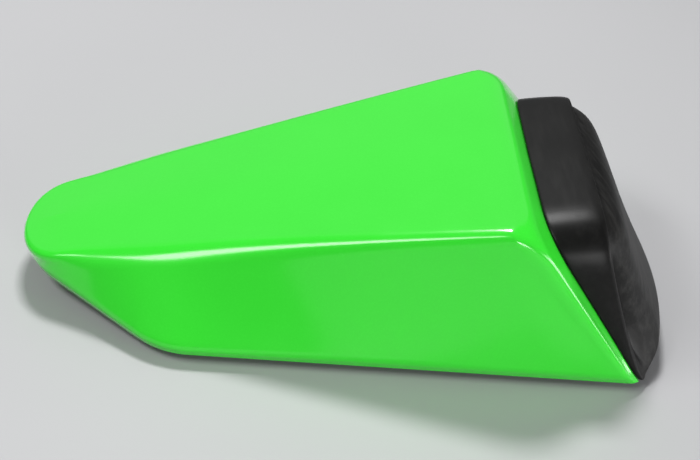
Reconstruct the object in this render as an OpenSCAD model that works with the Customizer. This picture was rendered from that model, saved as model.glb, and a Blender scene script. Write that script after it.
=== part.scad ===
// Seat cowl for the passenger seat place of a sports motorcycle.
// A painted shell with a foam bump pad across its front, closed below by a moulded tray
// that carries the steel hooks, the lock striker and four rubber bump stops.
// +X points to the front of the motorcycle, +Z up. The bump stops stand on Z = 0.

/* [Shell] */
// Length from the tail's nose to the front lower tips
shell_l = 341; // [325:1:360]
// Distance from the nose to the corner of the rim at the waist
waist_x = 80; // [72:1:92]
// Distance from the nose to the ridge where the deck turns down to the opening
ridge_x = 266; // [258:1:272]
// Width over the deck's creases at the ridge
ridge_w = 191; // [176:1:200]
// Height of the crease at the ridge above the rim
ridge_h = 95.5; // [86:0.5:104]
// Width of the deck where the tail's round end starts
tail_w = 84; // [74:1:92]
// Length of the tail's round end
tail_l = 22; // [18:1:26]
// Height of the deck above the rim's lowest line, at the nose
tail_h = 23; // [21:0.5:26]
// How far the rim rises from the waist to the nose
rim_rise = 11; // [8:0.5:12]
// Width across the rim at the waist
waist_w = 168; // [156:1:176]
// Width across the rim at the front tips
tip_w = 177; // [168:1:184]
// Rise of the deck's centre above its creases
crown = 1.5; // [0.5:0.5:3]
// Upward bow of the deck between nose and ridge
deck_bow = 1.8; // [0:0.2:3]
// Wall thickness of the moulding
wall = 3; // [2.6:0.2:3.4]
// Rounding of the creases, measured back from the sharp corner
crease_r = 9; // [7:0.5:11]
// Rounding of the ridge between deck and front strip
ridge_r = 15; // [10:1:18]
// Height of the rolled-in rim
roll_h = 6; // [5:0.5:7]
// How far the rim rolls in
roll_in = 3.5; // [2.5:0.5:4]

/* [Front opening] */
// Distance of the opening's top edge ahead of the ridge
strip_l = 11.5; // [10:0.5:15]
// Drop of the opening's top edge below the ridge
strip_drop = 8; // [7:0.5:10]
// Width across the opening's top corners
open_w = 170; // [162:1:174]
// Rounding of the opening's top corners
open_r = 32; // [24:1:36]
// How far the opening's sides pull in at half height
pinch = 3; // [1:0.5:4]
// Width of the flange inside the opening that the pad's plate is bolted to
flange_w = 13; // [12:0.5:15]
// Thickness of that flange
flange_t = 2.5; // [2:0.5:3]

/* [Pad] */
// How far the pad stands ahead of the opening at its top
pad_top = 32; // [26:0.5:36]
// How far its lower edge bows ahead of the tips
pad_bow = 17.5; // [12:0.5:22]
// Swell of the front face
pad_swell = 11.5; // [8:0.5:13]
// Thickness of the backing plate
plate_t = 2.5; // [2:0.5:3]

/* [Base tray] */
// Height of the tray's underside above the ground
tray_z = 20; // [19:0.5:21]
// Thickness of the tray
tray_t = 3; // [2.5:0.5:3.5]
// Height of the tray's ribs
rib_h = 5; // [4:0.5:6]
// Thickness of the tray's ribs
rib_t = 2.2; // [1.8:0.2:2.6]
// Height at which the rim is held over the ground by the bump stops
stand = 4; // [3:0.5:5]

/* [Fittings] */
// Diameter of the striker's rod
rod_d = 6; // [5:0.5:7]
// Width between the striker's legs, centre to centre
loop_w = 28; // [24:1:34]
// Thickness of the steel of hooks and striker plate
steel_t = 2.5; // [2:0.5:3]
// Width of each hook
hook_w = 26; // [22:1:30]
// Length of the hook's tongue
tongue_l = 20; // [16:1:24]
// Diameter of the bump stops
bump_d = 20; // [16:1:22]
// Diameter of the machine screws
bolt_d = 5; // [4:0.5:6]
// Diameter of the tray's tapping screws
tap_d = 4; // [3.5:0.5:4.5]

/* [Hidden] */
$fn = 40;

// Clearance between pieces that lie side by side
gap = 0.3;
// Clearance of a shank in its hole, in radius
hole_gap = 0.25;

// How far the pad's foot stands ahead of the opening
pad_lip = 3;
// The pad's furthest point lies a little above its foot, where bow and swell add up
pad_reach = pad_lip + pad_bow * 0.9 + pad_swell * 0.74 - 4.3;
overall_l = shell_l + pad_reach;
nose = -overall_l / 2;
waist = nose + waist_x;
ridge = nose + ridge_x;
tip = nose + shell_l;

// Stations along the shell: round tail end, flank, waist corner, body, ridge
n_nose = 8;
n_flank = 3;
n_waist = 4;
n_body = 8;
n_ridge = 5;

function mix(a, b, t) = a + (b - a) * t;
function bez3(a, b, c, t) = mix(mix(a, b, t), mix(b, c, t), t);
function bez4(a, b, c, d, t) = mix(bez3(a, b, c, t), bez3(b, c, d, t), t);
function unit(v) = v / norm(v);
function line(a, b, n) = [for (i = [1:n]) mix(a, b, i / n)];
// Round the corner b between a and c, from r before it to r after it
function corner(a, b, c, r, n) =
    let (r1 = min(r, 0.48 * norm(a - b)), r2 = min(r, 0.48 * norm(c - b)))
    [for (i = [0:n]) bez3(b + unit(a - b) * r1, b, b + unit(c - b) * r2, i / n)];

// Crease: height and half width over a place along the shell
function deck_z(x) =
    let (s = (x - nose) / ridge_x)
    stand + mix(tail_h, ridge_h, s) + deck_bow * 4 * s * (1 - s);
function deck_y(x) = mix(tail_w / 2, ridge_w / 2, (x - nose - tail_l) / (ridge_x - tail_l));
function deck_point(x) = [x, deck_y(x), deck_z(x)];

// Plane of the front opening, leaning back from the tips
open_z = stand + ridge_h - strip_drop;
open_run = tip - ridge - strip_l;
lean = atan2(open_run, open_z - stand);
function in_opening(y, z) = [tip - (z - stand) * tan(lean), y, z];
open_corner = in_opening(open_w / 2, open_z);
open_top = in_opening(0, open_z + crown);

// Crease guide: round tail end, straight to the ridge and over it to the opening
crease_slope = (ridge_w - tail_w) / 2 / (ridge_x - tail_l);
tail_turn = 0.6 * tail_l;
ridge_back = 30;
waist_back = 18;
waist_fore = 10;
crease_guide = concat(
    [for (i = [0:n_nose])
        let (p = bez4([nose, 0], [nose, tail_w * 0.3],
                      [nose + tail_l - tail_turn, tail_w / 2 - tail_turn * crease_slope],
                      [nose + tail_l, tail_w / 2], i / n_nose))
        [p.x, p.y, deck_z(p.x)]],
    [for (x = line(nose + tail_l, waist - waist_back, n_flank)) deck_point(x)],
    [for (x = line(waist - waist_back, waist + waist_fore, n_waist)) deck_point(x)],
    [for (i = [1:n_body - 1]) deck_point(mix(waist + waist_fore, ridge, i / n_body))],
    corner(deck_point(ridge - ridge_back), deck_point(ridge), open_corner, ridge_r, n_ridge),
    [open_corner]);

// Rim guide: follows the same stations along the lower edge
rim_set = 4;
flank_slope = 0.84;
function rim_line(x) = [x, waist_w / 2 + (x - waist) * flank_slope,
                        stand + rim_rise * (waist - x) / (waist_x - rim_set)];
rim_nose_z = stand + rim_rise;
rim_tail = rim_line(nose + 18);
rim_waist = [waist, waist_w / 2, stand];
rim_front = [tip - 3.5, tip_w / 2 + 0.8, stand];
rim_tip = in_opening(tip_w / 2 - 1.5, stand);
waist_in = mix(rim_waist, rim_tail, 0.22);
waist_out = mix(rim_waist, rim_front, 0.06);
rim_guide = concat(
    [for (i = [0:n_nose])
        bez4([nose + rim_set, 0, rim_nose_z], [nose + rim_set, 12, rim_nose_z],
             rim_line(nose + 10), rim_tail, i / n_nose)],
    line(rim_tail, waist_in, n_flank),
    [for (i = [1:n_waist]) bez3(waist_in, rim_waist, waist_out, i / n_waist)],
    [for (i = [1:n_body - 1]) mix(waist_out, rim_front, i / n_body)],
    corner(rim_waist, rim_front, rim_tip, 2.5, n_ridge),
    [rim_tip]);

// Centre line guide of the deck
deck_pole = 15;
function centre_point(x) = [x, 0, deck_z(x) + crown];
centre_guide = concat(
    [for (i = [0:n_nose]) centre_point(nose + tail_l + deck_pole * i / n_nose)],
    [for (x = line(nose + tail_l + deck_pole, waist - waist_back + 6, n_flank)) centre_point(x)],
    [for (x = line(waist - waist_back + 6, waist + waist_fore, n_waist)) centre_point(x)],
    [for (i = [1:n_body - 1]) centre_point(mix(waist + waist_fore, ridge, i / n_body))],
    corner(centre_point(ridge - ridge_back), centre_point(ridge), open_top, ridge_r, n_ridge),
    [open_top]);

last = len(crease_guide) - 1;

// Outward direction in plan at a station of the rim
function rim_out(i) =
    let (p = rim_guide[max(i - 1, 0)], q = rim_guide[min(i + 1, last)],
         d = i == 0 ? [0, 1] : [q.x - p.x, q.y - p.y])
    i > last - n_ridge - 2 ? [0, 1, 0] : unit([-d.y, d.x, 0]);

// The four knots of a half section: deck centre, crease, foot of the wall, rim edge
function knots(i) =
    let (r = rim_guide[i], c = crease_guide[i], back = (c.x - r.x) / (c.z - r.z))
    [centre_guide[i], c,
     r + rim_out(i) * roll_in + [i > n_nose + n_flank ? back * roll_h : 0, 0, roll_h], r];

// Inward direction across a section's line from a to b, towards c
function inward(a, b, c) =
    let (n = unit(cross(b - a, c - a)))
    cross(n, unit(b - a));

// The same knots moved in by a thickness
function inset(k, w) =
    let (n1 = inward(k[0], k[1], k[2]), n2 = inward(k[1], k[2], k[0]),
         flat = norm([n2.x, n2.y]))
    [k[0] + [n1.x, 0, n1.z] * w,
     k[1] + (n1 + n2) * w / (1 + n1 * n2),
     k[2] + n2 * w,
     k[3] + [n2.x, n2.y, 0] * w / flat];

// Half section as a smooth line from the deck's centre to the rim
n_deck = 4;
n_crease = 5;
n_wall = 3;
n_roll = 3;
m = n_deck + n_crease + n_wall + n_roll + 1;
foot_r = 6;
function section(k, r) =
    let (r1 = min(r, 0.45 * norm(k[1] - k[2]), 0.45 * norm(k[0] - k[1])),
         r2 = min(foot_r, 0.4 * norm(k[1] - k[2]), 0.45 * norm(k[3] - k[2])),
         a = k[1] + unit(k[0] - k[1]) * r1,
         b = k[1] + unit(k[2] - k[1]) * r1,
         c = k[2] + unit(k[1] - k[2]) * r2,
         d = k[2] + unit(k[3] - k[2]) * r2)
    concat([for (i = [0:n_deck - 1]) mix(k[0], a, i / n_deck)],
           [for (i = [0:n_crease]) bez3(a, k[1], b, i / n_crease)],
           [for (i = [1:n_wall - 1]) mix(b, c, i / n_wall)],
           [for (i = [0:n_roll]) bez3(c, k[2], d, i / n_roll)],
           [k[3]]);

// The creases open out from the ridge to the opening's rounder corners
function rounding(i) = mix(crease_r, open_r, max(0, i - last + n_ridge) / n_ridge);
// The last stations are pinched in at half height, up to the full amount at the opening
function pinched(i, p) =
    let (t = min(1, max(0, (p.z - stand) / (open_z - stand))), s = max(0, 1 - (last - i) / 2))
    p - [0, pinch * s * 4 * t * (1 - t) * min(1, p.y / 30), 0];
function half(i, w) =
    [for (p = section(inset(knots(i), w), max(rounding(i) - w, 3))) pinched(i, p)];
function half_skin(w) = [for (i = [0:last]) half(i, w)];

// A whole section from the near rim over the deck to the far rim
function mirrored(h) = concat([for (j = [m:-1:1]) [h[j].x, -h[j].y, h[j].z]], h);

// Closed skin between the outer surface and the same surface moved in by the wall
module skin() {
    outer = half_skin(0);
    inner = half_skin(wall);
    cols = 2 * m + 1;
    pts = concat([for (h = outer) each mirrored(h)], [for (h = inner) each mirrored(h)]);
    function at(i, j, s) = (s * (last + 1) + i) * cols + j;
    quads = concat(
        [for (i = [0:last - 1], j = [0:cols - 2])
            [at(i, j, 0), at(i, j + 1, 0), at(i + 1, j + 1, 0), at(i + 1, j, 0)]],
        [for (i = [0:last - 1], j = [0:cols - 2])
            [at(i, j, 1), at(i + 1, j, 1), at(i + 1, j + 1, 1), at(i, j + 1, 1)]],
        [for (j = [0:cols - 2])
            [at(last, j, 0), at(last, j + 1, 0), at(last, j + 1, 1), at(last, j, 1)]],
        [for (i = [0:last - 1])
            [at(i, 0, 0), at(i + 1, 0, 0), at(i + 1, 0, 1), at(i, 0, 1)]],
        [for (i = [0:last - 1])
            [at(i, cols - 1, 0), at(i, cols - 1, 1), at(i + 1, cols - 1, 1),
             at(i + 1, cols - 1, 0)]]);
    polyhedron(pts, quads, convexity = 8);
}

// Outline of the opening in its own plane, moved in by a thickness: across, then up the slope
function slope_point(p) = [p.y, (p.z - stand) / cos(lean)];
function opening(w) = [for (p = mirrored(half(last, w))) slope_point(p)];

// Children drawn in the plane of the opening: X ahead of it, Y across, Z up its slope
module at_opening() {
    translate([tip, 0, stand]) rotate([0, -lean, 0]) children();
}
// A flat outline across and up the slope, from one depth to another
module slope_slab(x0, x1) {
    translate([x0, 0, 0]) rotate([90, 0, 90]) linear_extrude(x1 - x0) children();
}

// Depths behind the opening: plate, flange, washers and nuts
plate_back = -plate_t;
flange_front = plate_back - gap;
flange_back = flange_front - flange_t;
washer_t = 1;
washer_r = bolt_d;
nut_h = 4;
nut_r = bolt_d * 0.9;
thread_gap = 0.1;
screw_end = 2;

// Places of the pad's studs, across and up the slope
slope_top = (open_z - stand) / cos(lean);
stud_in = flange_w / 2 + 0.5;
stud_y = 42;
stud_side = mix(tip_w, open_w, 0.55) / 2 - wall - stud_in;
stud_places = [for (s = [-1, 1]) each
    [[s * stud_y, slope_top - wall - stud_in], [s * stud_side, slope_top * 0.55]]];

// Places of the tray's tapping screws beside the wall
tray_top = tray_z + tray_t;
boss_h = 11;
boss_top = tray_top + boss_h;
boss_r = tap_d / 2 + 2.6;
boss_in = boss_r + 4.6;
boss_xs = [nose + 52, waist + 32, waist + 88, waist + 148];
function wall_point(i, z, w) =
    let (k = inset(knots(i), w), t = (k[1].z - z) / (k[1].z - k[2].z))
    mix(k[1], k[2], t);
function wall_table(z, w) = [for (i = [n_nose:last - 1]) let (p = wall_point(i, z, w)) [p.x, p.y]];
function wall_y(x, z, w) = lookup(x, wall_table(z, w));
boss_places = [for (x = boss_xs, s = [-1, 1]) [x, s * wall_y(x, tray_top, wall + boss_in)]];

// Stiffening rib under the deck
deck_rib_h = 7;
deck_rib_y = 24;
deck_rib_x0 = nose + 60;
deck_rib_x1 = ridge - 16;
module deck_rib(y) {
    xs = concat([deck_rib_x0], line(deck_rib_x0, deck_rib_x1, 6));
    top = [for (x = xs) [x, deck_z(x) - wall / 2]];
    low = [for (i = [len(xs) - 1:-1:0])
        [xs[i], deck_z(xs[i]) - wall - (i == 0 || i == len(xs) - 1 ? 0.5 : deck_rib_h)]];
    translate([0, y + rib_t / 2, 0]) rotate([90, 0, 0]) linear_extrude(rib_t)
        polygon(concat(top, low));
}

// Screw boss on the tray's top with the web that ties it to the wall
module boss(p) {
    s = sign(p.y);
    z0 = tray_top + 1;
    y_low = wall_y(p.x, z0, wall / 2);
    y_high = wall_y(p.x, boss_top - 1, wall / 2);
    translate([p.x, p.y, tray_top]) cylinder(r = boss_r, h = boss_h);
    translate([p.x + rib_t / 2, 0, 0]) rotate([90, 0, -90]) linear_extrude(rib_t)
        polygon([[-p.y, z0], [-s * y_low, z0], [-s * y_high, boss_top - 1], [-p.y, boss_top - 1]]);
}

// Flange behind the opening and the lip that carries it in from the opening's edge
module flange() {
    foot = (tray_top + 4 - stand) / cos(lean);
    module low() { translate([-tip_w, -10]) square([2 * tip_w, foot + 10]); }
    slope_slab(flange_back, -0.2) difference() {
        polygon(opening(0.6));
        polygon(opening(wall));
        low();
    }
    slope_slab(flange_back, flange_front) difference() {
        polygon(opening(wall / 2));
        polygon(opening(wall + flange_w));
        low();
    }
}

module cowl_shell() {
    pilot_r = tap_d / 2 - 0.4 + hole_gap;
    color([0.35, 0.95, 0.32]) difference() {
        union() {
            skin();
            at_opening() flange();
            for (p = boss_places) boss(p);
            for (s = [-1, 1]) deck_rib(s * deck_rib_y);
        }
        for (p = boss_places)
            translate([p.x, p.y, tray_top - 1]) cylinder(r = pilot_r, h = boss_h - 1);
        at_opening() for (q = stud_places)
            translate([flange_back - 1, q.x, q.y]) rotate([0, 90, 0])
                cylinder(r = bolt_d / 2 + hole_gap, h = flange_t + 2);
    }
}

// Pad: rings from its back in the opening to the swelling front face
pad_foot = stand + 0.6;
pad_inset = 0.7;
pad_rise = 5;
pad_power = 1.4;
pad_hw = tip_w / 2;
pad_z = open_z + crown;
n_low = 8;
// How far up the pad a height lies, from 0 at its foot to 1 at its top
function up(z) = min(1, max(0, (z - pad_foot) / (pad_z - pad_foot)));
function pad_back() =
    let (arch = [for (p = mirrored(half(last, pad_inset))) in_opening(p.y, max(p.z, pad_foot))],
         a = arch[len(arch) - 1], b = arch[0])
    concat(arch, [for (i = [1:n_low - 1]) mix(a, b, i / n_low)]);
// How far the pad's front stands ahead of the opening at half width y and place u up
function pad_ahead(y, u) =
    mix(pad_lip, pad_top, pow(u, pad_power)) + pad_bow * (1 - pow(y / pad_hw, 2)) * (1 - u);
// Ring of the front, a fraction of the way from its middle out to the back's outline
pad_mid_z = stand + ridge_h * 0.45;
pad_taper = 0.02;
function pad_face(back, r, swell) = [for (p = back)
    let (y = p.y * r, z = mix(pad_mid_z, p.z, r), u = up(z))
    in_opening(y * (1 - pad_taper * u), z) + [pad_ahead(y, u) + swell, 0, pad_rise * u]];
pad_rings = [[0.985, 0.05], [0.965, -0.25], [0.945, -0.2], [0.91, 0.25], [0.86, 0.65], [0.78, 0.88],
    [0.62, 0.98], [0.35, 1]];
module bum_pad() {
    shift = [gap * cos(lean), 0, gap * sin(lean)];
    back = [for (p = pad_back()) p + shift];
    edge = pad_face(back, 1, 0);
    mid = [for (i = [0:len(back) - 1]) mix(back[i], edge[i], 0.5) + [0, 0, up(back[i].z) * 0.8]];
    k = len(back);
    rings = concat([back, mid, edge], [for (r = pad_rings) pad_face(back, r[0], pad_swell * r[1])]);
    n = len(rings);
    hub = pad_face([[0, 0, pad_mid_z]], 0, pad_swell * 1.02);
    rear_hub = in_opening(0, pad_mid_z) + shift;
    pts = concat([for (r = rings) each r], hub, [rear_hub]);
    sides = [for (r = [0:n - 2], i = [0:k - 1])
        [r * k + i, r * k + (i + 1) % k, (r + 1) * k + (i + 1) % k, (r + 1) * k + i]];
    front = [for (i = [0:k - 1]) [(n - 1) * k + i, (n - 1) * k + (i + 1) % k, n * k]];
    rear = [for (i = [0:k - 1]) [(i + 1) % k, i, n * k + 1]];
    color([0.14, 0.14, 0.13]) polyhedron(pts, concat(sides, front, rear), convexity = 4);
}

// Plate that the pad is bonded to, with stiffening ribs between the flange's inner edges
plate_foot = 3;
stud_seat = 1.5;
plate_rib_h = 7;
plate_rib_ys = [-48, -16, 16, 48];
module pad_plate() {
    rib_low = (tray_top + 9 - stand) / cos(lean);
    rib_high = slope_top - wall - flange_w - 4;
    rib_end = open_w / 2 - wall - flange_w - 8;
    color([0.1, 0.1, 0.1]) at_opening() difference() {
        union() {
            slope_slab(plate_back, 0) difference() {
                polygon(opening(wall + gap));
                translate([-tip_w, -10]) square([2 * tip_w, plate_foot + 10]);
            }
            for (y = plate_rib_ys)
                translate([plate_back - plate_rib_h, y - rib_t / 2, rib_low])
                    cube([plate_rib_h + 0.5, rib_t, rib_high - rib_low]);
            for (z = [rib_low + rib_t, (rib_low + rib_high) / 2])
                translate([plate_back - plate_rib_h, -rib_end, z])
                    cube([plate_rib_h + 0.5, 2 * rib_end, rib_t]);
        }
        for (q = stud_places)
            translate([plate_back - 1, q.x, q.y]) rotate([0, 90, 0])
                cylinder(r = bolt_d / 2 + thread_gap, h = stud_seat + 1);
    }
}

// One piece on each of the pad's four fixing places, drawn along the stud towards the rear
module at_studs(x) {
    at_opening() for (q = stud_places)
        translate([x, q.x, q.y]) rotate([0, -90, 0]) children();
}
module pad_studs() {
    stud_l = stud_seat - flange_back - plate_t + washer_t + nut_h + screw_end;
    color([0.72, 0.72, 0.7]) at_studs(plate_back + stud_seat)
        cylinder(r = bolt_d / 2, h = stud_l);
}
module pad_washers() {
    color([0.75, 0.75, 0.73]) at_studs(flange_back) difference() {
        cylinder(r = washer_r, h = washer_t);
        translate([0, 0, -1]) cylinder(r = bolt_d / 2 + hole_gap, h = washer_t + 2);
    }
}
// Hexagon nut standing on Z = 0
module hex_nut() {
    difference() {
        cylinder(r = nut_r, h = nut_h, $fn = 6);
        translate([0, 0, -1]) cylinder(r = bolt_d / 2 + thread_gap, h = nut_h + 2);
    }
}
module pad_nuts() {
    color([0.7, 0.7, 0.68]) at_studs(flange_back - washer_t) hex_nut();
}

// Tray outline: follows the inside of the shell's wall at the tray's top
tray_fit = wall + 0.5;
tray_rear = nose + 38;
tray_front = tip - (tray_top - stand) * tan(lean) - (plate_t + 3 * gap) / cos(lean);
tray_cut = 8;
function tray_outline(w, x0, x1) =
    let (t = wall_table(tray_top, w),
         s = concat([[x0, lookup(x0, t) - tray_cut], [x0 + tray_cut, lookup(x0 + tray_cut, t)]],
                    [for (p = t) if (p.x > x0 + tray_cut + 2 && p.x < x1 - 1) p],
                    [[x1, lookup(x1, t)]]))
    concat(s, [for (i = [len(s) - 1:-1:0]) [s[i].x, -s[i].y]]);

// Places of the fittings on the tray; the hooks' tongues end just behind the pad
stop_front_x = tray_front - 27;
stop_front_y = tip_w / 2 - 22.5;
stop_rear_x = waist - 24;
stop_rear_y = waist_w / 2 - 55;
hook_bend = 5;
hook_low = 7;
hook_run = 8;
hook_seat = 24;
hook_clear = 7;
hook_y = stop_front_y - bump_d / 2 - 9 - hook_w / 2;
tongue_end = tip - (hook_low + steel_t / 2 - stand) * tan(lean) - hook_clear;
hook_x = tongue_end - tongue_l - hook_run - hook_seat;
hook_bolts = [for (s = [-1, 1], y = [-1, 1])
    [hook_x + hook_seat / 2 - 2, s * hook_y + y * hook_w / 4]];
striker_x = waist - 12;
striker_l = 46;
striker_w = 34;
striker_bolts = [for (x = [-1, 1], y = [-1, 1])
    [striker_x + x * (striker_l / 2 - 6), y * (striker_w / 2 - 7)]];
stop_places = [for (s = [-1, 1]) each
    [[stop_front_x, s * stop_front_y], [stop_rear_x, s * stop_rear_y]]];
stem_r = bump_d / 5;

// Ribs under the tray: rim skirt, two long ribs and cross ribs
skirt_in = tray_fit + 1.4;
long_rib_y = 15;
cross_xs = [waist + 18, waist + 60, waist + 120, hook_x - 10];
module tray_ribs() {
    skirt_x0 = tray_rear + 4;
    skirt_x1 = tray_front - 3;
    difference() {
        polygon(tray_outline(skirt_in, skirt_x0, skirt_x1));
        polygon(tray_outline(skirt_in + rib_t, skirt_x0 + rib_t, skirt_x1 - rib_t));
        for (s = [-1, 1])
            translate([hook_x + hook_seat - 4, s * hook_y - hook_w / 2 - 1])
                square([tray_front - hook_x, hook_w + 2]);
    }
    for (s = [-1, 1])
        translate([cross_xs[0], s * long_rib_y - rib_t / 2])
            square([cross_xs[3] - cross_xs[0] + rib_t, rib_t]);
    for (x = cross_xs) {
        y = wall_y(x, tray_top, skirt_in + 0.5);
        translate([x, -y]) square([rib_t, 2 * y]);
    }
}
module base_tray() {
    color([0.11, 0.11, 0.12]) difference() {
        union() {
            translate([0, 0, tray_z]) linear_extrude(tray_t)
                polygon(tray_outline(tray_fit, tray_rear, tray_front));
            translate([0, 0, tray_z - rib_h]) linear_extrude(rib_h + 0.5) tray_ribs();
        }
        for (p = boss_places)
            translate([p.x, p.y, tray_z - rib_h - 1])
                cylinder(r = tap_d / 2 + hole_gap, h = rib_h + tray_t + 2);
        for (p = concat(hook_bolts, striker_bolts))
            translate([p.x, p.y, tray_z - 1]) cylinder(r = bolt_d / 2 + hole_gap, h = tray_t + 2);
        for (p = stop_places)
            translate([p.x, p.y, tray_z - 1]) cylinder(r = stem_r + gap, h = tray_t + 2);
    }
}

// Pan head screw with its head's bearing face on Z = 0 and its shank upwards
module pan_screw(r, h) {
    head_r = r * 1.9;
    head_h = r * 1.1;
    cylinder(r = r, h = h);
    rotate_extrude() polygon([[0, -head_h], [head_r * 0.7, -head_h], [head_r * 0.93, -head_h * 0.7],
        [head_r, -head_h * 0.35], [head_r, 0], [0, 0]]);
}
module tray_screws() {
    color([0.2, 0.2, 0.22]) for (p = boss_places)
        translate([p.x, p.y, tray_z]) pan_screw(tap_d / 2 - 0.4, tray_t + boss_h - 4);
}

// A strip of a given thickness along a bent line
function turn(l, i) =
    let (a = l[max(i - 1, 0)], b = l[min(i + 1, len(l) - 1)], d = unit(b - a)) [-d.y, d.x];
module bent_strip(l, t) {
    n = len(l) - 1;
    polygon(concat([for (i = [0:n]) l[i] + turn(l, i) * t / 2],
                   [for (i = [n:-1:0]) l[i] - turn(l, i) * t / 2]));
}

hook_line = let (z0 = tray_z - steel_t / 2, a = [hook_x, z0], b = [hook_x + hook_seat, z0],
                 c = [hook_x + hook_seat + hook_run, hook_low],
                 d = [hook_x + hook_seat + hook_run + tongue_l, hook_low])
    concat([a], corner(a, b, c, hook_bend, 6), corner(b, c, d, hook_bend, 6), [d]);
module hook(s) {
    color([0.62, 0.63, 0.65]) difference() {
        translate([0, s * hook_y + hook_w / 2, 0]) rotate([90, 0, 0]) linear_extrude(hook_w)
            bent_strip(hook_line, steel_t);
        for (p = hook_bolts)
            translate([p.x, p.y, tray_z - steel_t - 1])
                cylinder(r = bolt_d / 2 + hole_gap, h = steel_t + 2);
    }
}
module hook_left() { hook(1); }
module hook_right() { hook(-1); }

// Screws from below through steel and tray, and their nuts on the tray's top
machine_l = steel_t + tray_t + nut_h + screw_end;
module hook_screws() {
    color([0.7, 0.7, 0.68]) for (p = hook_bolts)
        translate([p.x, p.y, tray_z - steel_t]) pan_screw(bolt_d / 2, machine_l);
}
module hook_nuts() {
    color([0.72, 0.72, 0.7]) for (p = hook_bolts) translate([p.x, p.y, tray_top]) hex_nut();
}

// Striker: a round rod bent to a U and welded through its plate
loop_bend = 7;
loop_low = 5;
module lock_striker() {
    top = tray_z - 0.5;
    z_bend = loop_low + loop_bend;
    flat = loop_w / 2 - loop_bend;
    color([0.66, 0.67, 0.69]) union() {
        difference() {
            translate([striker_x - striker_l / 2, -striker_w / 2, tray_z - steel_t])
                cube([striker_l, striker_w, steel_t]);
            for (p = striker_bolts)
                translate([p.x, p.y, tray_z - steel_t - 1])
                    cylinder(r = bolt_d / 2 + hole_gap, h = steel_t + 2);
        }
        for (s = [-1, 1]) {
            translate([striker_x + s * loop_w / 2, 0, z_bend])
                cylinder(d = rod_d, h = top - z_bend);
            translate([striker_x + s * flat, 0, z_bend]) rotate([90, s > 0 ? 90 : 180, 0])
                rotate_extrude(angle = 90) translate([loop_bend, 0]) circle(d = rod_d);
        }
        translate([striker_x - flat, 0, loop_low]) rotate([0, 90, 0])
            cylinder(d = rod_d, h = 2 * flat);
    }
}
module striker_screws() {
    color([0.7, 0.7, 0.68]) for (p = striker_bolts)
        translate([p.x, p.y, tray_z - steel_t]) pan_screw(bolt_d / 2, machine_l);
}
module striker_nuts() {
    color([0.72, 0.72, 0.7]) for (p = striker_bolts) translate([p.x, p.y, tray_top]) hex_nut();
}

// Rubber bump stop: body on the ground, stem through the tray, bulb that holds it
bulb_h = 6;
module bump_stop(p) {
    r = bump_d / 2;
    color([0.09, 0.09, 0.09]) translate([p.x, p.y, 0]) rotate_extrude() polygon([
        [0, 0], [r - 1.5, 0], [r - 0.4, 0.5], [r, 1.8], [r - 1, tray_z * 0.7],
        [r, tray_z - 2.5], [r, tray_z], [stem_r, tray_z], [stem_r, tray_top],
        [stem_r + 1.8, tray_top], [stem_r + 1.8, tray_top + 1.5],
        [stem_r * 0.5, tray_top + bulb_h], [0, tray_top + bulb_h]]);
}
module bump_front_left() { bump_stop([stop_front_x, stop_front_y]); }
module bump_front_right() { bump_stop([stop_front_x, -stop_front_y]); }
module bump_rear_left() { bump_stop([stop_rear_x, stop_rear_y]); }
module bump_rear_right() { bump_stop([stop_rear_x, -stop_rear_y]); }

cowl_shell();
bum_pad();
pad_plate();
pad_studs();
pad_washers();
pad_nuts();
base_tray();
tray_screws();
hook_left();
hook_right();
hook_screws();
hook_nuts();
lock_striker();
striker_screws();
striker_nuts();
bump_front_left();
bump_front_right();
bump_rear_left();
bump_rear_right();
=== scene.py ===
import math
import bmesh
import bpy
from mathutils import Matrix, Vector


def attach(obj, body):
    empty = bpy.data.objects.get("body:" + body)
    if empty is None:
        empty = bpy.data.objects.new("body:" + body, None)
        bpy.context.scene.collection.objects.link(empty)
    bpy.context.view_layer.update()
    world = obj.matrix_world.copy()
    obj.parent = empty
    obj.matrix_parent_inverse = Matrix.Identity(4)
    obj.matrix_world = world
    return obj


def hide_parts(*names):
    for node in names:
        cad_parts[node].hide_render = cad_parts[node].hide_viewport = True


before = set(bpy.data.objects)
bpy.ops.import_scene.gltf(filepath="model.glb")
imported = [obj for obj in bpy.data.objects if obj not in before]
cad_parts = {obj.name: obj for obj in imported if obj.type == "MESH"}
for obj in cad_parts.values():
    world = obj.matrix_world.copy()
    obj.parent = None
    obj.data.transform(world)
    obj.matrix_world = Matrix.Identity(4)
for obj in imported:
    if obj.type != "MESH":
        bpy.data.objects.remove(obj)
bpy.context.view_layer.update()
MM = 0.001

# Sizes of the shell in millimetres, as in the CAD source
SHELL_L, WAIST_X, RIDGE_X, RIDGE_W, RIDGE_H = 341, 80, 266, 191, 95.5
TAIL_W, TAIL_L, TAIL_H, RIM_RISE, WAIST_W, TIP_W = 84, 22, 23, 11, 168, 177
CROWN, DECK_BOW, WALL, CREASE_R, RIDGE_R, ROLL_H, ROLL_IN = 1.5, 1.8, 3, 9, 15, 6, 3.5
STRIP_L, STRIP_DROP, OPEN_W, OPEN_R, PINCH, STAND = 11.5, 8, 170, 32, 3, 4
PAD_TOP, PAD_BOW, PAD_SWELL, PAD_LIP = 32, 17.5, 11.5, 3
PAD_REACH = PAD_LIP + PAD_BOW * 0.9 + PAD_SWELL * 0.74 - 4.3
NOSE = -(SHELL_L + PAD_REACH) / 2
WAIST, RIDGE, TIP = NOSE + WAIST_X, NOSE + RIDGE_X, NOSE + SHELL_L
OPEN_Z = STAND + RIDGE_H - STRIP_DROP
LEAN = math.atan2(TIP - RIDGE - STRIP_L, OPEN_Z - STAND)
FOOT_R = 6
# How far the turns of the waist and of the ridge reach along the deck
WAIST_BACK, WAIST_AHEAD, RIDGE_BACK, FRONT_R = 18, 10, 30, 2.5
# The centre line starts behind the tail's tip and spreads over this length
POLE = 15


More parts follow.
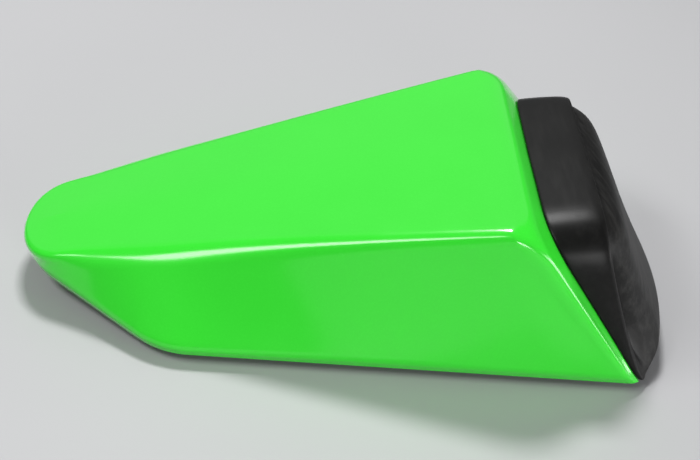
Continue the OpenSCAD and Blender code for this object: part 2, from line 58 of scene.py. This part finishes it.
def mix(a, b, t):
    return a + (b - a) * t


def bend3(a, b, c, t):
    return mix(mix(a, b, t), mix(b, c, t), t)


def bend4(a, b, c, d, t):
    return mix(bend3(a, b, c, t), bend3(b, c, d, t), t)


def ease(t):
    t = min(1.0, max(0.0, t))
    return t * t * (3 - 2 * t)


def round_corner(a, b, c, r, t):
    """Point on the corner b rounded between a and c."""
    r1, r2 = min(r, 0.48 * (a - b).length), min(r, 0.48 * (c - b).length)
    return bend3(b + (a - b).normalized() * r1, b, b + (c - b).normalized() * r2, t)


def deck_z(x):
    s = (x - NOSE) / RIDGE_X
    return STAND + mix(TAIL_H, RIDGE_H, s) + DECK_BOW * 4 * s * (1 - s)


def deck_point(x):
    along = (x - NOSE - TAIL_L) / (RIDGE_X - TAIL_L)
    return Vector((x, mix(TAIL_W / 2, RIDGE_W / 2, along), deck_z(x)))


def centre_point(x):
    return Vector((x, 0, deck_z(x) + CROWN))


def in_opening(y, z):
    return Vector((TIP - (z - STAND) * math.tan(LEAN), y, z))


def rim_line(x):
    rise = RIM_RISE * (WAIST - x) / (WAIST_X - 4)
    return Vector((x, WAIST_W / 2 + (x - WAIST) * 0.84, STAND + rise))


# The stations run from 0 at the nose to 29 at the opening, with these breaks between
NOSE_END, FLANK_END, WAIST_END, BODY_END, TURN_START, TURN_END, LAST = 8, 11, 15, 22, 23, 28, 29
OPEN_CORNER, OPEN_TOP = in_opening(OPEN_W / 2, OPEN_Z), in_opening(0, OPEN_Z + CROWN)
RIM_NOSE_Z = STAND + RIM_RISE
RIM_TAIL, RIM_WAIST = rim_line(NOSE + 18), Vector((WAIST, WAIST_W / 2, STAND))
RIM_FRONT = Vector((TIP - 3.5, TIP_W / 2 + 0.8, STAND))
RIM_TIP = in_opening(TIP_W / 2 - 1.5, STAND)
WAIST_IN, WAIST_OUT = mix(RIM_WAIST, RIM_TAIL, 0.22), mix(RIM_WAIST, RIM_FRONT, 0.06)


def crease_at(u):
    if u <= NOSE_END:
        slope = (RIDGE_W - TAIL_W) / 2 / (RIDGE_X - TAIL_L)
        turn = 0.6 * TAIL_L
        p = bend4(Vector((NOSE, 0)), Vector((NOSE, TAIL_W * 0.3)),
                  Vector((NOSE + TAIL_L - turn, TAIL_W / 2 - turn * slope)),
                  Vector((NOSE + TAIL_L, TAIL_W / 2)), u / NOSE_END)
        return Vector((p.x, p.y, deck_z(p.x)))
    if u <= FLANK_END:
        return deck_point(mix(NOSE + TAIL_L, WAIST - WAIST_BACK, (u - NOSE_END) / 3))
    if u <= WAIST_END:
        return deck_point(mix(WAIST - WAIST_BACK, WAIST + WAIST_AHEAD, (u - FLANK_END) / 4))
    return along_body(u, deck_point, OPEN_CORNER)


def along_body(u, point, end):
    """From the waist over the ridge to the opening, on the line that point gives."""
    if u <= BODY_END:
        return point(mix(WAIST + WAIST_AHEAD, RIDGE, (u - WAIST_END) / 8))
    before, ridge = point(RIDGE - RIDGE_BACK), point(RIDGE)
    if u <= TURN_START:
        start = round_corner(before, ridge, end, RIDGE_R, 0)
        return mix(point(mix(WAIST + WAIST_AHEAD, RIDGE, 7 / 8)), start, u - BODY_END)
    turned = round_corner(before, ridge, end, RIDGE_R, min(1, (u - TURN_START) / 5))
    return turned if u <= TURN_END else mix(turned, end, u - TURN_END)


def rim_at(u):
    if u <= NOSE_END:
        return bend4(Vector((NOSE + 4, 0, RIM_NOSE_Z)), Vector((NOSE + 4, 12, RIM_NOSE_Z)),
                     rim_line(NOSE + 10), RIM_TAIL, u / NOSE_END)
    if u <= FLANK_END:
        return mix(RIM_TAIL, WAIST_IN, (u - NOSE_END) / 3)
    if u <= WAIST_END:
        return bend3(WAIST_IN, RIM_WAIST, WAIST_OUT, (u - FLANK_END) / 4)
    if u <= BODY_END:
        return mix(WAIST_OUT, RIM_FRONT, (u - WAIST_END) / 8)
    if u <= TURN_START:
        start = round_corner(RIM_WAIST, RIM_FRONT, RIM_TIP, FRONT_R, 0)
        return mix(mix(WAIST_OUT, RIM_FRONT, 7 / 8), start, u - BODY_END)
    turned = round_corner(RIM_WAIST, RIM_FRONT, RIM_TIP, FRONT_R, min(1, (u - TURN_START) / 5))
    return turned if u <= TURN_END else mix(turned, RIM_TIP, u - TURN_END)


def centre_at(u):
    if u <= NOSE_END:
        return centre_point(NOSE + TAIL_L + POLE * u / NOSE_END)
    bend = WAIST - WAIST_BACK + 6
    if u <= FLANK_END:
        return centre_point(mix(NOSE + TAIL_L + POLE, bend, (u - NOSE_END) / 3))
    if u <= WAIST_END:
        return centre_point(mix(bend, WAIST + WAIST_AHEAD, (u - FLANK_END) / 4))
    return along_body(u, centre_point, OPEN_TOP)


def rim_out(u):
    """Outward direction in plan at a place of the rim."""
    if u >= TURN_START - 1:
        return Vector((0, 1, 0))
    p, q = rim_at(max(u - 1, 0)), rim_at(u + 1)
    d = Vector((0, 1)) if u < 0.01 else Vector((q.x - p.x, q.y - p.y))
    out = Vector((-d.y, d.x, 0)).normalized()
    return out.lerp(Vector((0, 1, 0)), ease((u - BODY_END + 3) / 3)).normalized()


def knots_at(u):
    """Deck centre, crease, foot of the wall and rim edge of a half section."""
    r, c = rim_at(u), crease_at(u)
    back = (c.x - r.x) / (c.z - r.z) * ease(u - FLANK_END)
    foot = r + rim_out(u) * ROLL_IN + Vector((back * ROLL_H, 0, ROLL_H))
    return [centre_at(u), c, foot, r]


def inward(a, b, c):
    """Direction across a section's line from a to b, towards c."""
    n = (b - a).cross(c - a).normalized()
    return n.cross((b - a).normalized())


def inset(k, w):
    """The same knots moved in by a thickness."""
    n1, n2 = inward(k[0], k[1], k[2]), inward(k[1], k[2], k[0])
    flat = math.hypot(n2.x, n2.y)
    return [k[0] + Vector((n1.x, 0, n1.z)) * w, k[1] + (n1 + n2) * w / (1 + n1.dot(n2)),
            k[2] + n2 * w, k[3] + Vector((n2.x, n2.y, 0)) * w / flat]


def deck_climb(p, centre):
    """Rise of the sloping deck from its centre to a place of the tail."""
    return deck_z(p.x) - deck_z(centre.x) if centre.x < WAIST + WAIST_AHEAD else 0


def half_section(k, r, deck=14, crease=14, wall=12, roll=8):
    """Smooth line of points from the deck's centre over crease and foot to the rim."""
    r1 = min(r, 0.45 * (k[1] - k[2]).length, 0.45 * (k[0] - k[1]).length)
    r2 = min(FOOT_R, 0.4 * (k[1] - k[2]).length, 0.45 * (k[3] - k[2]).length)
    a, b = k[1] + (k[0] - k[1]).normalized() * r1, k[1] + (k[2] - k[1]).normalized() * r1
    c, d = k[2] + (k[1] - k[2]).normalized() * r2, k[2] + (k[3] - k[2]).normalized() * r2
    pts, fall = [], a.z - k[0].z - deck_climb(a, k[0])
    for i in range(deck):
        t = i / deck
        p = mix(k[0], a, t)
        p.z = k[0].z + deck_climb(p, k[0]) + fall * (2 * t * t - t ** 3)
        pts.append(p)
    pts += [bend3(a, k[1], b, i / crease) for i in range(crease + 1)]
    pts += [mix(b, c, i / wall) for i in range(1, wall)]
    pts += [bend3(c, k[2], d, i / roll) for i in range(roll + 1)]
    return pts + [mix(d, k[3], 0.5), k[3]]


def mirrored(half):
    return [Vector((p.x, -p.y, p.z)) for p in half[:0:-1]] + half


def section_at(u, w):
    """Whole section at a station, moved in by a thickness and pinched near the opening."""
    r = mix(CREASE_R, OPEN_R, max(0.0, u - LAST + 5) / 5)
    half = half_section(inset(knots_at(u), w), max(r - w, 3))
    pinch = PINCH * max(0, 1 - (LAST - u) / 2)
    for p in half:
        t = min(1, max(0, (p.z - STAND) / (OPEN_Z - STAND)))
        p.y -= pinch * 4 * t * (1 - t) * min(1, p.y / 30)
    return mirrored(half)


def mesh_piece(name, points, faces, smooth_angle=50):
    """A smooth piece from points in millimetres, with points at one place joined."""
    mesh = bpy.data.meshes.new(name)
    mesh.from_pydata([p * MM for p in points], [], faces)
    mesh.validate()
    joined = bmesh.new()
    joined.from_mesh(mesh)
    bmesh.ops.remove_doubles(joined, verts=joined.verts, dist=0.002 * MM)
    joined.to_mesh(mesh)
    joined.free()
    mesh.validate()
    mesh.update()
    mesh.shade_smooth()
    mesh.set_sharp_from_angle(angle=math.radians(smooth_angle))
    piece = bpy.data.objects.new(name, mesh)
    bpy.context.scene.collection.objects.link(piece)
    return piece


def modifier(piece, kind, **settings):
    mod = piece.modifiers.new(kind.title(), kind)
    for key, value in settings.items():
        setattr(mod, key, value)
    return mod


def grid_faces(rows, cols, start=0, flip=False, closed=False):
    """Quads between rows of points that lie one after another."""
    faces = []
    for i in range(rows - 1):
        for j in range(cols if closed else cols - 1):
            k = (j + 1) % cols
            a, b = start + i * cols + j, start + i * cols + k
            c, d = start + (i + 1) * cols + k, start + (i + 1) * cols + j
            faces.append((a, d, c, b) if flip else (a, b, c, d))
    return faces


def build_shell():
    """The painted shell: outer skin, inner skin and the edges between them."""
    stops = [(0, NOSE_END, 30), (NOSE_END, FLANK_END, 9), (FLANK_END, WAIST_END, 14),
             (WAIST_END, BODY_END, 28), (BODY_END, TURN_START, 4), (TURN_START, TURN_END, 18),
             (TURN_END, LAST, 5)]
    us = [0.0] + [mix(a, b, i / n) for a, b, n in stops for i in range(1, n + 1)]
    outer = [section_at(u, 0) for u in us]
    inner = [section_at(u, WALL) for u in us]
    rows, cols = len(us), len(outer[0])
    points = [p for row in outer + inner for p in row]
    size = rows * cols
    faces = grid_faces(rows, cols) + grid_faces(rows, cols, size, flip=True)
    for j in range(cols - 1):
        a = (rows - 1) * cols + j
        faces.append((a, a + 1, size + a + 1, size + a))
    for i in range(rows - 1):
        a, b = i * cols, (i + 1) * cols
        faces.append((a, b, size + b, size + a))
        c, d = a + cols - 1, b + cols - 1
        faces.append((c, size + c, size + d, d))
    shell = mesh_piece("shell", points, faces)
    modifier(shell, "BEVEL", width=0.7 * MM, segments=3, limit_method="ANGLE",
             angle_limit=math.radians(60))
    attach(shell, "root")
    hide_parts("cowl_shell")
    return shell


# The pad, as in the CAD source but with its lip, groove and rounded edges
PAD_FOOT, PAD_Z, PAD_RISE, PAD_HW = STAND + 0.6, OPEN_Z + CROWN, 5, TIP_W / 2
PAD_POWER, PAD_TAPER, PAD_MID_Z = 1.4, 0.02, STAND + RIDGE_H * 0.45
PAD_GAP = 0.3


def pad_height(z):
    """Share of the way up the pad."""
    return (z - PAD_FOOT) / (PAD_Z - PAD_FOOT)


def pad_point(p, r, swell):
    """Point of the front, a share r of the way from its middle to the place p of its edge."""
    y, z = p.y * r, mix(PAD_MID_Z, p.z, r)
    u = min(1.0, max(0.0, pad_height(z)))
    ahead = mix(PAD_LIP, PAD_TOP, u ** PAD_POWER) + PAD_BOW * (1 - (y / PAD_HW) ** 2) * (1 - u)
    return in_opening(y * (1 - PAD_TAPER * u), z) + Vector((ahead + swell, 0, PAD_RISE * u))


def even_loop(loop, n):
    """The same closed loop with n evenly spaced points."""
    steps = [0.0]
    for a, b in zip(loop, loop[1:] + loop[:1]):
        steps.append(steps[-1] + (b - a).length)
    out, j = [], 0
    for i in range(n):
        s = steps[-1] * i / n
        while steps[j + 1] < s:
            j += 1
        a, b = loop[j], loop[(j + 1) % len(loop)]
        out.append(mix(a, b, (s - steps[j]) / (steps[j + 1] - steps[j])))
    return out


def build_pad():
    """The moulded pad: back, band with its lip, groove and swollen front face."""
    count = 220
    arch = [in_opening(p.y, max(p.z, PAD_FOOT)) for p in section_at(LAST, 0.7)]
    foot = [mix(arch[-1], arch[0], i / 60) for i in range(1, 60)]
    facing = Vector((math.cos(LEAN), 0, math.sin(LEAN)))
    back = [p + facing * PAD_GAP for p in even_loop(arch + foot, count)]
    sides = []
    for i in range(count):
        sides.append(facing.cross(back[(i + 1) % count] - back[i - 1]).normalized())

    front = [pad_point(p, 1, 0) for p in back]
    # Rings of the band, from the back to the lip: place along it and how far they stand proud
    band = [(0, -2.2), (0.004, -1.1), (0.012, -0.4), (0.03, 0), (0.1, 0.15), (0.22, 0.35),
            (0.36, 0.5), (0.5, 0.6), (0.64, 0.6), (0.76, 0.5), (0.86, 0.25), (0.93, -0.15),
            (0.97, -0.6), (1, -1.3)]
    rings = [[mix(p, q, s) + side * h for p, q, side in zip(back, front, sides)]
             for s, h in band]
    # Rings of the front face: share of the way out from its middle, and the share of the swell
    # there, once where the groove is deep and once where the edge is plain
    face = [(0.978, -0.04, 0.07), (0.969, -0.17, 0.13), (0.96, -0.31, 0.19), (0.951, -0.41, 0.25),
            (0.942, -0.44, 0.31), (0.929, -0.34, 0.4), (0.912, -0.08, 0.5), (0.89, 0.24, 0.62),
            (0.862, 0.5, 0.73), (0.83, 0.69, 0.82), (0.79, 0.83, 0.89), (0.74, 0.92, 0.94),
            (0.68, 0.97, 0.97), (0.6, 0.99, 0.99)]
    face += [(r, 1, 1) for r in (0.5, 0.4, 0.3, 0.2, 0.1)]
    # Around the edge: how deep the groove may be where the pad is thin, and how much wider
    deep, wide = [], []
    for p, q in zip(back, front):
        u = pad_height(p.z)
        room = min(1, 0.13 * (q.x - p.x))
        deep.append(ease(u / 0.1) * room * mix(1, 0.5, ease((u - 0.6) / 0.4)))
        wide.append(mix(0.8, 0, ease(u / 0.8)))
    for r, grooved, plain in face:
        rings.append([pad_point(p, 1 - (1 - r) * (1 + w * r ** 4),
                                PAD_SWELL * mix(plain, grooved, d))
                      for p, d, w in zip(back, deep, wide)])
    hubs = [sum(rings[-1], Vector()) / count, in_opening(0, PAD_MID_Z) + facing * PAD_GAP]
    points = [p for ring in rings for p in ring] + hubs
    faces = grid_faces(len(rings), count, closed=True)
    start = (len(rings) - 1) * count
    for i in range(count):
        k = (i + 1) % count
        faces.append((start + i, start + k, len(points) - 2))
        faces.append((k, i, len(points) - 1))
    pad = mesh_piece("bump_pad", points, faces, 80)
    modifier(pad, "SUBSURF", levels=1, render_levels=1)
    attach(pad, "root")
    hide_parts("bum_pad")
    return pad


class Wire:
    """A node's output that takes part in sums like a number."""

    def __init__(self, finish, socket):
        self.finish, self.socket = finish, socket

    def sum(self, operation, a, b=0.0):
        return self.finish.node("Math", {"operation": operation}, {0: a, 1: b})

    def __add__(self, other):
        return self.sum("ADD", self, other)

    __radd__ = __add__

    def __sub__(self, other):
        return self.sum("SUBTRACT", self, other)

    def __rsub__(self, other):
        return self.sum("SUBTRACT", other, self)

    def __mul__(self, other):
        return self.sum("MULTIPLY", self, other)

    __rmul__ = __mul__

    def __truediv__(self, other):
        return self.sum("DIVIDE", self, other)

    def __pow__(self, other):
        return self.sum("POWER", self, other)


class Finish:
    """One material, built node by node, with patterns in metres on the object."""

    def __init__(self, name, **constants):
        self.material = bpy.data.materials.new(name)
        self.material.use_nodes = True
        self.tree = self.material.node_tree
        self.shader = self.tree.nodes["Principled BSDF"]
        for key, value in constants.items():
            self.shader.inputs[key.replace("_", " ")].default_value = value
        self.place = self.node("TexCoord", out="Object")

    def node(self, kind, settings=None, inputs=None, out=0):
        made = self.tree.nodes.new("ShaderNode" + kind)
        for key, value in (settings or {}).items():
            if key == "stops":
                for element, (at, grey) in zip(made.color_ramp.elements, value):
                    element.position = at
                    element.color = (grey, grey, grey, 1)
            else:
                setattr(made, key, value)
        for key, value in (inputs or {}).items():
            self.feed(made.inputs[key], value)
        return Wire(self, made.outputs[out])

    def feed(self, socket, value):
        if isinstance(value, Wire):
            self.tree.links.new(value.socket, socket)
        elif isinstance(value, tuple) and len(value) == 3 and socket.type == "RGBA":
            socket.default_value = (*value, 1)
        else:
            socket.default_value = value

    def noise(self, scale, detail=3.0, roughness=0.5, where=None):
        """Cloudy pattern; scale in cells a metre."""
        return self.node("TexNoise", None, {"Vector": where or self.place, "Scale": scale,
                                            "Detail": detail, "Roughness": roughness})

    def axes(self):
        parts = self.node("SeparateXYZ", None, {"Vector": self.place}).socket.node.outputs
        return [Wire(self, part) for part in parts]

    def streaks(self, scale, direction, length, detail=4.0, roughness=0.6):
        """Noise drawn out along a direction, so many times longer than it is wide."""
        line = Vector(direction).normalized()
        side = line.orthogonal().normalized()
        inputs = {}
        for i, (axis, share) in enumerate(((line, 1 / length), (side, 1), (line.cross(side), 1))):
            inputs[i] = self.node("VectorMath", {"operation": "DOT_PRODUCT"},
                                  {0: self.place, 1: tuple(axis * share)}, out="Value")
        return self.noise(scale, detail, roughness, self.node("CombineXYZ", None, inputs))

    def cells(self, scale):
        return self.node("TexVoronoi", None, {"Vector": self.place, "Scale": scale})

    def ramp(self, value, stops):
        """Grey ramp with two stops."""
        return self.node("ValToRGB", {"stops": stops}, {"Fac": value})

    def blend(self, share, a, b):
        return self.node("Mix", {"data_type": "RGBA"}, {0: share, 6: a, 7: b}, out=2)

    def relief(self, height, distance, strength=1.0, under=None):
        inputs = {"Height": height, "Distance": distance, "Strength": strength}
        if under is not None:
            inputs["Normal"] = under
        return self.node("Bump", None, inputs)

    def finish(self, **wires):
        for key, value in wires.items():
            self.feed(self.shader.inputs[key.replace("_", " ")], value)
        return self.material


def paint_finish():
    """Gloss paint under clear lacquer, with fine flecks, hairline scratches and some peel."""
    f = Finish("green_gloss_paint", Coat_Roughness=0.16, Coat_IOR=1.5, Coat_Weight=0.95,
               Specular_IOR_Level=0.15)
    clouds = f.noise(14, 2)
    flecks = f.noise(900, 2)
    colour = f.blend(clouds, (0.035, 0.72, 0.029), (0.042, 0.77, 0.035))
    colour = f.blend(f.ramp(flecks, [(0.45, 0.0), (0.8, 0.3)]), colour, (0.050, 0.82, 0.043))
    haze = f.ramp(f.noise(55, 4), [(0.35, 0.18), (0.75, 0.26)])
    scratches = f.ramp(f.streaks(160, (1, 0.3, 0), 24), [(0.66, 0.0), (0.74, 1.0)])
    peel = f.relief(f.noise(260, 2), 0.00006, 0.35)
    return f.finish(Base_Color=colour, Roughness=haze + scratches * 0.05, Normal=peel)


def pad_finish():
    """Satin skin of moulded foam: brushed on the face, rubbed along the band, a little dust."""
    f = Finish("black_foam_skin", Specular_IOR_Level=0.14)
    x, _, z = f.axes()
    up = f.ramp((z / MM - PAD_FOOT) / (PAD_Z + PAD_RISE - PAD_FOOT), [(0.0, 0.0), (1.0, 1.0)])
    ahead = (x / MM - TIP) + (z / MM - STAND) * math.tan(LEAN)
    past_lip = ahead - PAD_LIP - (PAD_TOP - PAD_LIP) * up ** PAD_POWER
    face = f.ramp(past_lip / 8, [(0.2, 0.0), (0.9, 1.0)])
    brushed = f.ramp(f.streaks(210, (0.35, -0.9, -0.3), 9, 4, 0.62), [(0.42, 0.0), (0.68, 1.0)])
    rubbed = f.ramp(f.streaks(170, (0, 1, 0), 7, 5, 0.65), [(0.46, 0.0), (0.76, 1.0)])
    clouds = f.noise(24, 3)
    grain = f.noise(2600, 2)
    dust = f.ramp(f.cells(420), [(0.0, 1.0), (0.05, 0.0)])
    colour = f.blend(clouds, (0.0050, 0.0050, 0.0048), (0.0080, 0.0078, 0.0075))
    colour = f.blend(rubbed * 0.4, colour, (0.019, 0.0186, 0.0178))
    colour = f.blend(brushed * face * 0.7, colour, (0.034, 0.0335, 0.032))
    colour = f.blend(dust * 0.1, colour, (0.12, 0.12, 0.115))
    rough = 0.34 + clouds * 0.06 + rubbed * 0.05 + face * 0.12
    relief = f.relief(grain, 0.00004, 0.4)
    relief = f.relief(brushed * face, 0.0003, 0.3, relief)
    return f.finish(Base_Color=colour, Roughness=rough, Normal=relief)


def moulded_finish(name, dark, pale, grain_scale):
    """Black moulded plastic or rubber with a grained surface and rubbed places."""
    f = Finish(name, Specular_IOR_Level=0.4)
    clouds = f.noise(30, 3)
    leather = f.cells(grain_scale)
    rubbed = f.ramp(f.noise(90, 5, 0.65), [(0.58, 0.0), (0.74, 1.0)])
    colour = f.blend(clouds, dark, pale)
    colour = f.blend(rubbed * 0.35, colour, tuple(min(1, c * 2.2) for c in pale))
    rough = 0.46 + clouds * 0.14 - rubbed * 0.08
    relief = f.relief(leather, 0.00012, 0.5)
    relief = f.relief(f.noise(60, 2), 0.0002, 0.2, relief)
    return f.finish(Base_Color=colour, Roughness=rough, Normal=relief)


def steel_finish(name, dark, pale, metallic=1.0, grain=(1, 0, 0), length=30):
    """Brushed or plated steel with dull stains."""
    f = Finish(name)
    brushed = f.streaks(1500, grain, length)
    stains = f.ramp(f.noise(80, 4), [(0.45, 0.0), (0.75, 1.0)])
    colour = f.blend(brushed, dark, pale)
    colour = f.blend(stains * 0.25, colour, tuple(c * 0.6 for c in dark))
    return f.finish(Base_Color=colour, Roughness=0.24 + brushed * 0.16 + stains * 0.12,
                    Metallic=metallic - stains * 0.2,
                    Normal=f.relief(brushed, 0.00004, 0.4))


shell = build_shell()
pad = build_pad()
shell.data.materials.append(paint_finish())
pad.data.materials.append(pad_finish())

# The pieces that stay as the CAD made them, each with its own finish
zinc = steel_finish("zinc_plated_steel", (0.42, 0.42, 0.38), (0.66, 0.65, 0.58),
                    grain=(0, 0, 1), length=4)
finishes = {
    "pad_plate": moulded_finish("moulded_plate", (0.014, 0.014, 0.015),
                                (0.024, 0.024, 0.025), 1100),
    "base_tray": moulded_finish("moulded_tray", (0.016, 0.016, 0.017),
                                (0.030, 0.030, 0.032), 700),
    "tray_screws": steel_finish("blackened_screws", (0.03, 0.03, 0.032),
                                (0.07, 0.07, 0.075), 0.85),
    "lock_striker": steel_finish("striker_steel", (0.36, 0.36, 0.36), (0.56, 0.56, 0.55)),
}
for node in ("pad_studs", "pad_washers", "pad_nuts", "hook_screws", "hook_nuts",
             "striker_screws", "striker_nuts"):
    finishes[node] = zinc
hook_steel = steel_finish("hook_steel", (0.34, 0.34, 0.35), (0.55, 0.55, 0.55),
                          grain=(1, 0, -0.3), length=20)
buffer_rubber = moulded_finish("buffer_rubber", (0.009, 0.009, 0.009),
                               (0.018, 0.018, 0.018), 1600)
for node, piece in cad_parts.items():
    finish = finishes.get(node, hook_steel if node.startswith("hook_") else buffer_rubber)
    piece.data.materials.clear()
    piece.data.materials.append(finish)


def area_lamp(name, place, target, width, depth, watts):
    lamp = bpy.data.lights.new(name, "AREA")
    lamp.shape, lamp.size, lamp.size_y = "RECTANGLE", width, depth
    lamp.energy = watts
    holder = bpy.data.objects.new(name, lamp)
    holder.location = place
    holder.rotation_euler = (Vector(target) - Vector(place)).to_track_quat("-Z", "Y").to_euler()
    bpy.context.scene.collection.objects.link(holder)


area_lamp("overhead", (-0.83, -0.5, 1.2), (0, -0.08, 0.06), 0.9, 0.3, 10)
area_lamp("key", (-0.1, 0.72, 1.56), (0, 0, 0.04), 0.4, 0.32, 23)
area_lamp("right_side", (1.37, -0.34, 0.2), (0.1, -0.07, 0.06), 1.0, 0.34, 8)
area_lamp("back_glow", (-0.2, 1.9, 1.2), (0, 0, 0.05), 2.8, 1.7, 4)
area_lamp("front", (0.43, -1.31, 0.28), (0.1, -0.08, 0.07), 0.5, 0.3, 7.5)

def studio_world(glow, strength, backdrop):
    """Weak light from all around, and beyond the floor a pale backdrop that adds no light."""
    world = bpy.data.worlds.new("studio")
    world.use_nodes = True
    nodes, links = world.node_tree.nodes, world.node_tree.links
    nodes["Background"].inputs["Color"].default_value = glow
    nodes["Background"].inputs["Strength"].default_value = strength
    behind = nodes.new("ShaderNodeBackground")
    behind.inputs["Color"].default_value = backdrop
    seen, choice = nodes.new("ShaderNodeLightPath"), nodes.new("ShaderNodeMixShader")
    links.new(seen.outputs["Is Camera Ray"], choice.inputs[0])
    links.new(nodes["Background"].outputs[0], choice.inputs[1])
    links.new(behind.outputs[0], choice.inputs[2])
    links.new(choice.outputs[0], nodes["World Output"].inputs["Surface"])
    return world


bpy.context.scene.world = studio_world((0.95, 0.97, 1, 1), 0.1, (0.62, 0.62, 0.63, 1))

floor_mesh = bpy.data.meshes.new("floor")
floor_mesh.from_pydata([(-4, -4, 0), (4, -4, 0), (4, 4, 0), (-4, 4, 0)], [], [(0, 1, 2, 3)])
floor = bpy.data.objects.new("floor", floor_mesh)
bpy.context.scene.collection.objects.link(floor)
floor.location.z = -0.0004
paper = Finish("floor_paper")
paper_colour = paper.blend(paper.noise(3, 2), (0.46, 0.46, 0.47), (0.49, 0.49, 0.50))
floor_mesh.materials.append(paper.finish(
    Base_Color=paper_colour, Roughness=0.6,
    Normal=paper.relief(paper.noise(500, 2), 0.0001, 0.2)))

# Camera at the photo's place: right, up and backward are its axes
lens = bpy.data.cameras.new("camera")
lens.sensor_width, lens.lens = 36, 92.57
camera = bpy.data.objects.new("camera", lens)
right = Vector((0.9945, -0.0409, 0.0964)).normalized()
ahead = Vector((0.0866, 0.8383, -0.5383))
ahead = (ahead - right * ahead.dot(right)).normalized()
above = right.cross(ahead)
axes = Matrix((right, above, -ahead)).transposed().to_4x4()
camera.matrix_world = Matrix.Translation(Vector((NOSE + 94.6, -858.2, 586.2)) * MM) @ axes
bpy.context.scene.collection.objects.link(camera)
bpy.context.scene.camera = camera
bpy.context.scene.view_settings.view_transform = "Standard"
